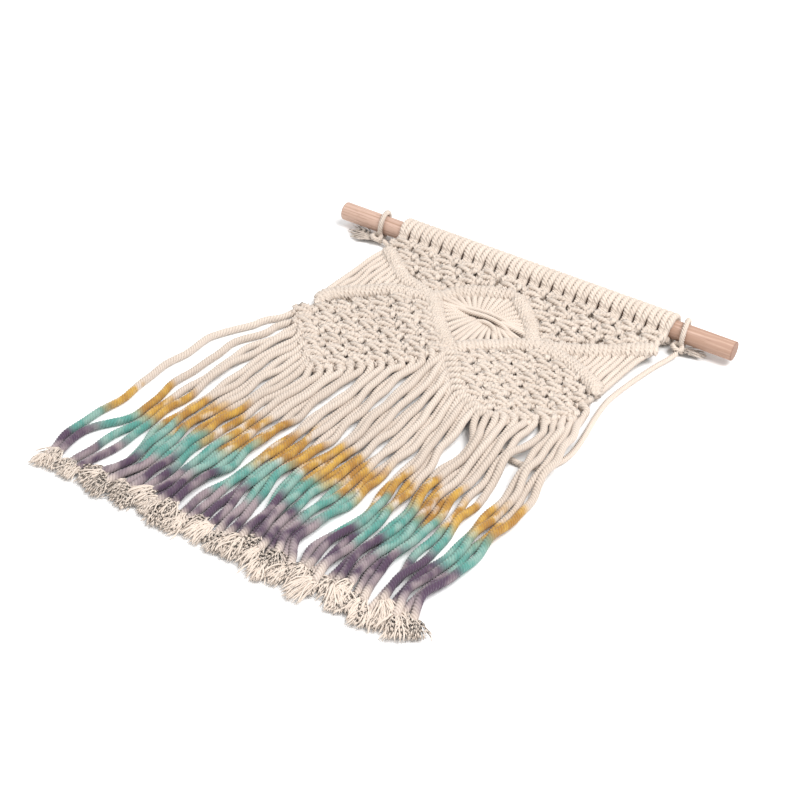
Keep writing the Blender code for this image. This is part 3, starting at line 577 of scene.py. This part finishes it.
def ground_sheet():
    """The closed layer: its outline, with its gaps, as two faces and their rims."""
    gaps = [[(a, d - s / 2), (a + w / 2, d), (a, d + s / 2), (a - w / 2, d)]
            for a, d, s, w in GAPS]
    rings = [outline] + gaps
    flat = [p for ring in rings for p in ring]
    edges, first = [], 0
    for ring in rings:
        edges += [(first + i, first + (i + 1) % len(ring)) for i in range(len(ring))]
        first += len(ring)
    edge = outline + outline[:1]
    for across in np.arange(-4, 208, GROUND_STEP):
        for down in np.arange(PANEL_TOP + 2, 176, GROUND_STEP):
            if not inside(outline, across, down) or distance_to(edge, across, down) <= EDGE_CLEAR:
                continue
            if all(math.hypot(a - across, d - down) > s / 2 + EDGE_CLEAR for a, d, s, _ in GAPS):
                flat.append((across, down))
    verts, _, faces, _, _, _ = delaunay_2d_cdt([Vector(p) for p in flat], edges, [], 0, 1e-6)
    kept = []
    for face in faces:
        middle = sum((verts[i] for i in face), Vector((0, 0))) / len(face)
        if inside(outline, *middle) and not any(inside(ring, *middle) for ring in gaps):
            kept.append(list(face))
    places = []
    for a, d in verts:
        loose = any(inside(ring, a, d) for ring in loose_fields)
        places.append((a, d, LOOSE_HEIGHT if loose else FIELD_HEIGHT))
    low = [(a, d, h - GROUND_THICK) for a, d, h in places]
    count = len(verts)
    sides = [side for face in kept for side in zip(face, face[1:] + face[:1])]
    known = set(sides)
    rims = [(i, j) for i, j in sides if (j, i) not in known]
    points = metres(on_bed(places + low))
    solid = [face[::-1] for face in kept] + [[i + count for i in face] for face in kept]
    solid += [[i, j, j + count, i + count] for i, j in rims]
    mesh = bpy.data.meshes.new("knotted_ground")
    mesh.from_pydata([tuple(p) for p in points], [], solid)
    mesh.update()
    # Where the layer lies under the knotted fields, away from its rim, it gets the darkest
    # painted shade.
    seam_shade = [float(h == FIELD_HEIGHT and distance_to(outline, a, d) > SEAM_CLEAR)
            for a, d, h in places]
    mesh.attributes.new("seam_shade", "FLOAT", "POINT").data.foreach_set("value", seam_shade + [0.0] * count)
    return mesh


ground_mesh = ground_sheet()
ground = bpy.data.objects.new("knotted_ground", ground_mesh)
bpy.context.collection.objects.link(ground)
ground_mesh.shade_smooth()


def pressed_cotton():
    """Cream cotton in painted shade, darkest in the seams between knots, where no light comes."""
    finish = Finish("pressed cotton", COTTON_ROUGHNESS, 0.2)
    strands = finish.noise(420.0, 3.0)
    seam_shade = Amount(finish, finish.node("Attribute", {"attribute_name": "seam_shade"}).outputs["Fac"])
    # Painted shade: the open part is coloured darker than the cords' cream, and the deep part
    # much darker still.
    open_part = finish.tinted(strands, (0.46, 0.38, 0.32, 1), CREAM)
    painted_seam_shade = finish.tinted(strands, (0.17, 0.13, 0.10, 1), (0.32, 0.26, 0.205, 1))
    finish.colour(finish.tinted(seam_shade, open_part, painted_seam_shade))
    finish.raised(strands, 0.001, 0.8)
    return finish.material


ground_mesh.materials.append(pressed_cotton())
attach(ground, "root")
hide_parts("panel")


# ------------------------------------------------------------------ the square knots
# Fields of alternating square knots in the cotton strands, each tied with two working strands
# round two filler strands. The first row stands alone below the heading, one knot to every four
# strands.
ROW_HEIGHT = 9.4
ROWS = 17
FIRST_ROW = (11.2, 24.5)
FIRST_ROW_TALL = 1.3
KNOT_CORD = 2.4
TURN_JITTER, WIDE_JITTER, PLACE_JITTER, HEIGHT_JITTER = 0.09, 0.05, 0.22, 0.15
DRAWN_IN = 0.035           # how much narrower the fields are than the strands on the rod
BAR_CLEAR = 4.6            # a knot nearer than this to a bar is left out
# The strand that makes both front bars, and the one that passes behind: (across, down, height).
FRONT_STRAND = [(-5.0, -6.9, 4.4), (-5.2, -4.9, 4.6), (-4.1, -3.2, 5.6), (-1.6, -2.6, 6.5),
                (1.8, -2.0, 6.4), (4.0, -1.2, 5.6), (5.6, -0.1, 4.2), (4.0, 1.4, 5.6),
                (1.6, 2.0, 6.5), (-1.8, 2.6, 6.4), (-4.2, 3.1, 5.6), (-5.2, 4.7, 4.6),
                (-5.0, 6.9, 4.4)]
BACK_STRAND = [(5.0, -6.9, 4.4), (6.1, -4.3, 5.3), (6.6, -2.0, 6.5), (5.8, -0.2, 4.8),
               (4.2, 0.1, 3.0), (2, 0.1, 2.6), (-2, -0.6, 2.6), (-4.2, -1.0, 3.6),
               (-6.1, -0.9, 5.6), (-6.7, 0.6, 6.6), (-6.0, 2.0, 5.4), (-4.2, 2.4, 3.2),
               (-2, 2.2, 2.6), (2, 2.6, 2.6), (4.4, 3.0, 3.8), (6.0, 4.2, 5.3), (5.0, 6.9, 4.4)]
FILLERS = [[(-1.9, -7.4, 4.2), (-1.9, 0, 4.4), (-1.9, 7.4, 4.2)],
           [(1.9, -7.4, 4.2), (1.9, 0, 4.4), (1.9, 7.4, 4.2)]]


def square_knot(across, down, tall=1.0, flip=1):
    """The four strands of one knot about its middle."""
    turn = chance.normal(0, TURN_JITTER)
    wide = 1 + chance.normal(0, WIDE_JITTER)
    cords = []
    for k, strand in enumerate([FRONT_STRAND, BACK_STRAND] + FILLERS):
        points = []
        for x, y, h in strand:
            x = x * flip * wide + chance.normal(0, PLACE_JITTER)
            y = y * tall + chance.normal(0, PLACE_JITTER)
            points.append((across + x - y * turn, down + y + x * turn,
                           h + chance.normal(0, HEIGHT_JITTER)))
        cords.append(twisted(on_bed(points), KNOT_CORD, columns=8, steps=8 if k < 2 else 4,
                             groove=0.40))
    return cords


field_rings = [V_LEFT[:4] + PEAK_LEFT[3::-1], V_RIGHT[:5] + PEAK_RIGHT[2::-1],
               PEAK_LEFT[4:] + HEM[:7] + V_LEFT[:2:-1], V_RIGHT[4:] + HEM[7:] + PEAK_RIGHT[:2:-1]]
bars = [V_LEFT, V_RIGHT, PEAK_LEFT, PEAK_RIGHT]
knots = []
for knot in range(STRANDS // 4):
    knots += square_knot((4 * knot + 2) * PITCH, sum(FIRST_ROW) / 2, FIRST_ROW_TALL,
                         (-1) ** knot)
panel_cotton = [gathered("first_row", knots, cotton)]
knots = []
for row in range(ROWS):
    middle = FIRST_ROW[1] + (row + 0.5) * ROW_HEIGHT
    shifted = (row + 1) % 2
    for knot in range(STRANDS // 4 + shifted):
        across = (4 * knot + (0 if shifted else 2)) * PITCH
        inward = across + (ROD_MIDDLE - across) * DRAWN_IN
        if any(inside(ring, inward, middle) for ring in field_rings):
            if all(distance_to(line, across, middle) > BAR_CLEAR for line in bars):
                knots += square_knot(across, middle, 1.0, (-1) ** row)
panel_cotton.append(gathered("square_knots", knots, cotton))


# ------------------------------------------------------------------ the knotted bars
# Rows of double half hitches: each cotton strand is wound twice round a holding cord and pulled
# tight. They form a wide V crossed by an upturned V, with a diamond between them.
BAR_STEP = 2.9
BAR_HALF_WIDTH, BAR_HALF_HEIGHT, BAR_MIDDLE = 4.2, 2.7, 4.7
HITCH_RADIUS = 2.45
HITCH_LEAN = 0.9           # how far along the bar one wrap leans
STUB_RADIUS, STUB_REACH = 1.85, 8.5


def bar_wraps(line, way_lean):
    """The wraps of one bar, each a closed turn round the bar's middle line."""
    route = evened([(a, d, 0) for a, d in line], BAR_STEP)
    along = np.gradient(route, axis=0)
    along /= np.linalg.norm(along, axis=1)[:, None]
    wraps = []
    for turn, (place, way) in enumerate(zip(route, along)):
        # The bar is thinner at its two ends, so that they close.
        full = min(1.0, 0.45 + 0.3 * min(turn, len(route) - 1 - turn))
        side = np.array((-way[1], way[0], 0.0))
        lean, rise = way_lean + chance.normal(0, 0.3), BAR_MIDDLE + chance.normal(0, 0.16)
        place = place + side * chance.normal(0, 0.25)
        points = []
        for a in np.linspace(-0.4, 2 * math.pi - 0.4, 13):
            offset = (side * BAR_HALF_WIDTH + way * lean) * math.cos(a) * full
            height = rise + BAR_HALF_HEIGHT * full * math.sin(a)
            points.append(place + offset + np.array((0, 0, height)))
        wraps.append(twisted(on_bed(points), HITCH_RADIUS, columns=8, steps=7, groove=0.3))
    return wraps


def down_on(line, across):
    """How far down a line of (across, down) points lies at one place across."""
    line = sorted(line)
    return float(np.interp(across, [p[0] for p in line], [p[1] for p in line]))


hitches = []
for line, way in zip(bars, (1, -1, -1, 1)):
    hitches += bar_wraps(line, way * HITCH_LEAN)
panel_cotton.append(gathered("hitched_bars", hitches, cotton))

# The strands that come straight out of the bars, seen just above and below each of them.
stubs = []
for line in bars:
    low, high = min(p[0] for p in line), max(p[0] for p in line)
    for strand in range(STRANDS):
        across = (strand + 0.5) * PITCH
        if low + 2 < across < high - 2:
            down = down_on(line, across)
            stub = [(across, down - STUB_REACH, 3.6), (across, down, 3.2),
                    (across, down + STUB_REACH, 3.6)]
            stubs.append(twisted(on_bed(stub), STUB_RADIUS, columns=8, steps=4))
panel_cotton.append(gathered("bar_strands", stubs, cotton))


# ------------------------------------------------------------------ the loose side strands
# Beside the bars' crossings the cotton strands are left unknotted. They run from the V, which
# holds them above, down to the upturned V, and the outer ones are drawn in with the cloth's edge.
SIDE_RADIUS = 2.35
SIDE_WIDTH = 66.0          # how far in from the edge the strands follow it
SHORTEST = 12.0

loose = []
for strand in range(STRANDS):
    across = (strand + 0.5) * PITCH
    if across < CROSS_LEFT[0]:
        start, end = down_on(V_LEFT[:4], across), down_on(PEAK_LEFT[4:], across)
        rim, edge = 0.0, SIDE_LEFT
    elif across > CROSS_RIGHT[0]:
        start, end = down_on(V_RIGHT[:5], across), down_on(PEAK_RIGHT[3:], across)
        rim, edge = CLOTH_WIDTH, SIDE_RIGHT[::-1]
    else:
        continue
    if end - start < SHORTEST:
        continue
    share = 1 - abs(across - rim) / SIDE_WIDTH
    points = []
    for down in np.linspace(start + 2, end - 2, 6):
        pulled = (np.interp(down, [p[1] for p in edge], [p[0] for p in edge]) - rim) * share
        points.append((across + pulled + chance.normal(0, 0.3), down,
                       4.4 + chance.normal(0, 0.4)))
    loose.append(twisted(on_bed(points), SIDE_RADIUS, steps=7, groove=0.3))
panel_cotton.append(gathered("side_strands", loose, cotton))


# ------------------------------------------------------------------ the diamond
# Cotton strands gather from the diamond's upper bars into one large knot, which three of them
# tie, and fan out below it to the lower bars.
STAR = (98.0, 60.5)
RAY_RADIUS, FAN_RADIUS, BAND_RADIUS = 2.25, 2.0, 1.9
# The knot's own strands, which pass over all the others: (across, down, height).
BAND = [
    [(70, 57.0, 3.2), (80, 58.4, 5.8), (90, 58.2, 8.4), (101, 57.2, 8.8), (112, 57.0, 7.6),
     (122, 59.2, 5.4), (130, 61.2, 3.4)],
    [(67, 60.0, 3.2), (77, 61.6, 5.6), (89, 62.2, 8.2), (101, 61.4, 8.8), (111, 61.6, 7.8),
     (121, 64.4, 5.4), (128, 68.4, 3.4)],
    [(96, 65.4, 5.0), (102, 65.4, 7.4), (108.5, 66.8, 7.2), (113.5, 70.8, 5.6), (117, 76.5, 3.6)],
]
# The strands part below the knot: those before each place across are moved by this much.
PARTED = [(84.5, -1.9), (93.0, -0.5), (102.0, 0.8), (200.0, 1.4)]

rays = []
for strand in range(STRANDS):
    across = (strand + 0.5) * PITCH
    if not CROSS_LEFT[0] + 3 < across < CROSS_RIGHT[0] - 3:
        continue
    upper = down_on(PEAK_LEFT[:5] + PEAK_RIGHT[:4], across)
    lower = down_on(V_LEFT[3:] + V_RIGHT[4:], across)
    away = across - STAR[0]
    rise = 2.4 * abs(away) / 40 + chance.normal(0, 0.2)
    ray = [(across, upper + 2, 3.0),
           (across - away * 0.12, upper + (STAR[1] - upper) * 0.3, 5.4),
           (across - away * 0.42, upper + (STAR[1] - upper) * 0.7, 4.6 + rise),
           (STAR[0] + away * 0.34, STAR[1] - 1, 4.0 + rise)]
    rays.append(twisted(on_bed(ray), RAY_RADIUS, groove=0.3))
    apart = next(shift for limit, shift in PARTED if across < limit)
    fan = [(STAR[0] + away * 0.40 + apart, STAR[1] + 1, 4.4),
           (STAR[0] + away * 0.56 + apart, STAR[1] + (lower - STAR[1]) * 0.35, 5.2),
           (across - away * 0.10 + apart * 0.6, STAR[1] + (lower - STAR[1]) * 0.75, 4.4),
           (across, lower - 2, 3.0)]
    rays.append(twisted(on_bed(fan), FAN_RADIUS, groove=0.3))
for strand in BAND:
    rays.append(twisted(on_bed(strand), BAND_RADIUS, groove=0.3))
panel_cotton.append(gathered("diamond_strands", rays, cotton))


# ------------------------------------------------------------------ the fringe
# The 48 cotton strands run on from the hem, about 180 to 240 mm long, and lie loose on the
# table. They were dipped in ochre, teal and purple dye, and their last part is undyed and frayed
# out.
LEVELS = (150.0, 187.0, 226.0, 275.0, 315.0, 342.0)
LOCKS = [
    # strands, then left and right side at each level
    (1, (-19.6, -14.4), (-33.4, -28.2), (-34.4, -29.2), (-32.7, -27.5), (-34.2, -29.0),
     (-29.0, -23.8)),
    (1, (-8.2, -3.0), (-17.6, -12.4), (-18.1, -12.9), (-15.4, -10.2), (-28.5, -23.3),
     (-23.4, -18.2)),
    (2, (1.0, 10.6), (-7.1, 4.0), (-7.5, 1.8), (-9.8, 2.5), (-13.8, 2.5), (-16.5, -1.2)),
    (7, (11.6, 44.6), (5.3, 46.5), (7.4, 41.5), (4.0, 37.9), (10.9, 38.9), (-0.4, 37.5)),
    (5, (45.6, 66.6), (47.0, 67.8), (44.6, 66.1), (42.6, 64.2), (44.3, 59.7), (38.5, 63.5)),
    (6, (68.0, 93.0), (71.4, 93.6), (69.1, 96.3), (69.1, 91.5), (62.9, 96.9), (64.3, 100.6)),
    (6, (94.0, 118.6), (96.1, 118.7), (98.3, 119.9), (93.0, 117.3), (101.4, 116.6),
     (101.2, 122.2)),
    (4, (119.6, 135.6), (120.2, 136.3), (120.6, 138.0), (118.1, 136.7), (117.5, 131.5),
     (122.8, 141.8)),
    (4, (136.6, 152.2), (137.0, 151.2), (140.2, 156.2), (144.0, 159.4), (137.7, 156.7),
     (142.4, 159.1)),
    (6, (153.0, 181.5), (160.2, 179.9), (156.9, 181.8), (162.5, 182.9), (157.4, 180.9),
     (159.7, 187.2)),
    (2, (182.5, 192.2), (180.6, 190.1), (182.4, 193.1), (183.8, 195.7), (187.4, 193.4),
     (187.8, 195.9)),
    (4, (193.6, 209.0), (195.5, 214.8), (198.9, 217.0), (198.3, 215.6), (194.2, 210.9),
     (196.5, 215.6)),
]
STRAND_RADIUS = 2.55
WANDER = [(0.8, 63.0), (0.45, 31.0)]     # how far the strands stray sideways, and over what run
NOTCH, HEM_NOTCH = 102.2, 114.4          # where the hem's two points meet, across and down
ROOT_OUT, ROOT_IN = 4.0, -6.0            # a strand's first places outside and inside the hem
STRAND_STEP = 6.0
PILED = 0.8                # how much of a cord's height crossing strands keep: they press down
LOWEST_TIP, TIP_STAGGER = 354.0, 9.0
FRAY_LENGTH = 14.5
FRAY_LOCKS, FRAY_SPREAD, FRAY_RADIUS, FRAY_RELIEF = 56, 6.0, 0.52, 0.00004
FRAY_ROOT, FRAY_TIP_HEIGHT = 3.0, 1.6


def root_on_hem(strand, distance):
    """Where one strand leaves the hem, moved a distance out along the way that it leaves."""
    half = STRANDS // 2
    if strand < half:
        line = [p for p in HEM if p[0] < NOTCH] + [(NOTCH, HEM_NOTCH)]
    else:
        line = [(NOTCH, HEM_NOTCH)] + [p for p in HEM if p[0] > NOTCH]
    steps = [math.hypot(x1 - x0, 0.35 * (y1 - y0)) for (x0, y0), (x1, y1) in zip(line, line[1:])]
    left = sum(steps) * (strand % half + 0.5) / half
    for (x0, y0), (x1, y1), step in zip(line, line[1:], steps):
        if left <= step:
            break
        left -= step
    t = min(1.0, left / step)
    across, down = x0 + (x1 - x0) * t, y0 + (y1 - y0) * t
    out = np.array((y0 - y1, x1 - x0)) / math.hypot(x1 - x0, y1 - y0) + np.array((0, 0.35))
    out /= np.linalg.norm(out)
    return across + distance * out[0], down + distance * out[1]


def strand_routes():
    """Every strand's route from inside the hem to where it frays, piled where they crowd."""
    lines = []
    for count, *levels in LOCKS:
        for i in range(count):
            lines.append([left + (right - left) * (i + 0.5) / count for left, right in levels])
    rows = np.arange(100.0, 343.0, STRAND_STEP)
    places = np.full((STRANDS, len(rows)), np.nan)
    for strand, middles in enumerate(lines):
        root = root_on_hem(strand, ROOT_OUT)
        stations = [(root[1], root[0])] + [(level, middle) for level, middle
                                           in zip(LEVELS, middles) if level > root[1] + 10]
        downs, acrosses = zip(*stations)
        phases = chance.random(2) * 2 * math.pi
        for k, row in enumerate(rows):
            if row >= root[1]:
                j = max(1, min(np.searchsorted(downs, row), len(downs) - 1))
                t = eased((row - downs[j - 1]) / (downs[j] - downs[j - 1]))
                stray = sum(reach * math.sin(2 * math.pi * row / run + phase)
                            for (reach, run), phase in zip(WANDER, phases))
                places[strand, k] = (acrosses[j - 1] + (acrosses[j] - acrosses[j - 1]) * t
                                     + stray * eased((row - root[1] - 4.0) / 30.0))
    heights = np.full(places.shape, STRAND_RADIUS + 0.05)
    for k in range(len(rows)):
        for strand in range(1, STRANDS, 2):
            for other in (strand - 1, strand + 1):
                if other == STRANDS or np.isnan(places[[strand, other], k]).any():
                    continue
                apart = abs(places[strand, k] - places[other, k])
                if apart < 2 * STRAND_RADIUS:
                    over = math.sqrt(4 * STRAND_RADIUS ** 2 - apart ** 2)
                    heights[strand, k] = max(heights[strand, k], STRAND_RADIUS + over * PILED)
    routes = []
    for strand in range(STRANDS):
        inner, root = root_on_hem(strand, ROOT_IN), root_on_hem(strand, ROOT_OUT)
        route = [(*inner, 3.4), (*root_on_hem(strand, 0.5), 5.6), (*root, 4.6)]
        for k, row in enumerate(rows):
            if np.isfinite(places[strand, k]) and row > root[1] + 5:
                near = heights[strand, max(0, k - 1):k + 2]
                route.append((places[strand, k], row, near.mean()))
        routes.append([(a, d, h + max(raised_by(a, d))) for a, d, h in route])
    return routes


OCHRE, OCHRE_DARK = (0.54, 0.315, 0.055, 1), (0.36, 0.175, 0.032, 1)
TEAL_PALE, TEAL = (0.235, 0.385, 0.335, 1), (0.08, 0.275, 0.235, 1)
LILAC_GREY, PURPLE = (0.31, 0.245, 0.26, 1), (0.075, 0.042, 0.08, 1)
BARE, BARE_SHADE = (0.72, 0.62, 0.55, 1), (0.50, 0.41, 0.35, 1)
# The near-black brown of the painted shade in the grooves between plies.
PAINTED_GROOVE_SHADE = (0.10, 0.08, 0.07, 1)
# How far down each band comes in: from none of it to all of it.
OCHRE_FROM, TEAL_FROM, PURPLE_FROM, BARE_FROM = (230, 242), (262, 278), (290, 306), (326, 337)


def dipped_cotton():
    """The fringe's cotton: undyed, then ochre, teal and purple bands that run into each other."""
    finish = Finish("dipped cotton", COTTON_ROUGHNESS, COTTON_SHEEN)
    fibres, groove = plied(finish)
    fluff_speck = finish.noise(1500.0, 2.0)
    strand = Amount(finish, finish.node("Attribute", {"attribute_name": "tone"}).outputs["Fac"])
    across, down, _ = finish.object_place()
    soak = finish.noise(1.0, 2.0, finish.vector(across * 0.05, down * 0.03, strand * 4.0))
    clump = finish.noise(1.0, 2.0, finish.vector(across * 0.085, down * 0.05, 3.0))
    depth = finish.noise(1.0, 3.0, finish.vector(across * 0.16, down * 0.10, strand * 2.0))
    dark = depth.between(0.35, 0.65)
    band = down + (across - 90.0) * 0.075 + (soak - 0.5) * 34.0 + (strand - 0.5) * 12.0
    # Painted shade: the grooves between the plies are coloured darker. The strand's own tone
    # mixes in, and the strands are darker further down.
    groove_shade_and_tone = ((groove ** 3) * 0.35 + (fibres - 0.5) * 0.5 + strand * 0.25
            + band.between(130.0, 240.0) * 0.34)
    tint = finish.tinted(groove_shade_and_tone, CREAM, CREAM_SHADE)
    ochre = (clump + depth * 0.6 + (strand - 0.5) * 0.14).between(0.56, 0.78)
    ochre = ochre * band.between(*OCHRE_FROM)
    tint = finish.tinted(ochre, tint, finish.tinted(dark, OCHRE, OCHRE_DARK))
    teal = finish.tinted(dark, TEAL_PALE, TEAL)
    tint = finish.tinted(band.between(*TEAL_FROM), tint, teal)
    deep = (clump + (strand - 0.5) * 0.14).between(0.38, 0.58)
    purple = finish.tinted(deep, LILAC_GREY, PURPLE)
    tint = finish.tinted(band.between(*PURPLE_FROM), tint, purple)
    undyed = (down + (across - 90.0) * 0.045 + (soak - 0.5) * 14.0).between(*BARE_FROM)
    tint = finish.tinted(undyed, tint, finish.tinted(groove_shade_and_tone, BARE, BARE_SHADE))
    # Painted shade: the grooves between the plies, speckled by the fluff, go towards a near-black
    # brown.
    finish.colour(finish.tinted(groove * fluff_speck * 0.35, tint, PAINTED_GROOVE_SHADE))
    finish.raised(fibres * 0.6 + fluff_speck * 0.4 - (groove ** 2) * 0.5, COTTON_RELIEF, 0.7)
    return finish.material


dipped = dipped_cotton()
strands, ends = [], []
for strand, route in enumerate(strand_routes()):
    cut = LOWEST_TIP - TIP_STAGGER * ((strand * 5) % 7) / 6 - FRAY_LENGTH
    route = [p for p in route if p[1] < cut]
    last, before = np.array(route[-1]), np.array(route[-2])
    way = (last - before) / np.linalg.norm(last - before)
    fray_root = last + way * max(0.0, (cut - last[1]) / max(0.3, way[1]))
    strands.append(twisted(route + [tuple(fray_root)], STRAND_RADIUS, steps=7, groove=0.2,
                           ends=(0.8, 0.7)))
    turn = chance.normal(0, 0.35)
    fall = np.array((way[0] + turn * way[1], way[1] - turn * way[0], 0.0))
    end = fray_root + fall * FRAY_LENGTH * (1 + chance.normal(0, 0.12))
    end[2] = FRAY_TIP_HEIGHT
    ends += fluff(fray_root - way * FRAY_ROOT, end, FRAY_LOCKS, FRAY_SPREAD, FRAY_RADIUS)
gathered("fringe_left_strands", strands[:STRANDS // 2], dipped, "fringe_left")
gathered("fringe_right_strands", strands[STRANDS // 2:], dipped, "fringe_right")
gathered("frayed_ends", ends, natural_cotton("frayed cotton", FRAY_RELIEF))


# ------------------------------------------------------------------ the table and the light
# A plain pale painted table top, which isn't part of the object. Two large soft lamps stand
# above it, and light comes from all round.
bpy.ops.object.select_all(action="DESELECT")
bpy.ops.mesh.primitive_plane_add(size=6.0, location=(0, 0, -0.0002))
table = bpy.context.object
table.name = "table_top"
paint = Finish("pale table", 0.7)
paint.shader.inputs["Base Color"].default_value = (0.93, 0.93, 0.93, 1)
table.data.materials.append(paint.material)
for name, place, size, power in (("key", (0.75, -0.05, 1.4), 0.9, 26.0),
                                 ("fill", (-0.7, -1.1, 1.6), 1.6, 10.0)):
    lamp = bpy.data.lights.new(name, "AREA")
    lamp.size, lamp.energy = size, power
    holder = bpy.data.objects.new(name, lamp)
    bpy.context.collection.objects.link(holder)
    holder.matrix_world = (Matrix.Translation(place)
                           @ (-Vector(place)).to_track_quat("-Z", "Y").to_matrix().to_4x4())
world = bpy.data.worlds.new("studio")
world.use_nodes = True
world.node_tree.nodes["Background"].inputs["Color"].default_value = (1.0, 1.0, 1.0, 1)
world.node_tree.nodes["Background"].inputs["Strength"].default_value = 0.75
bpy.context.scene.world = world
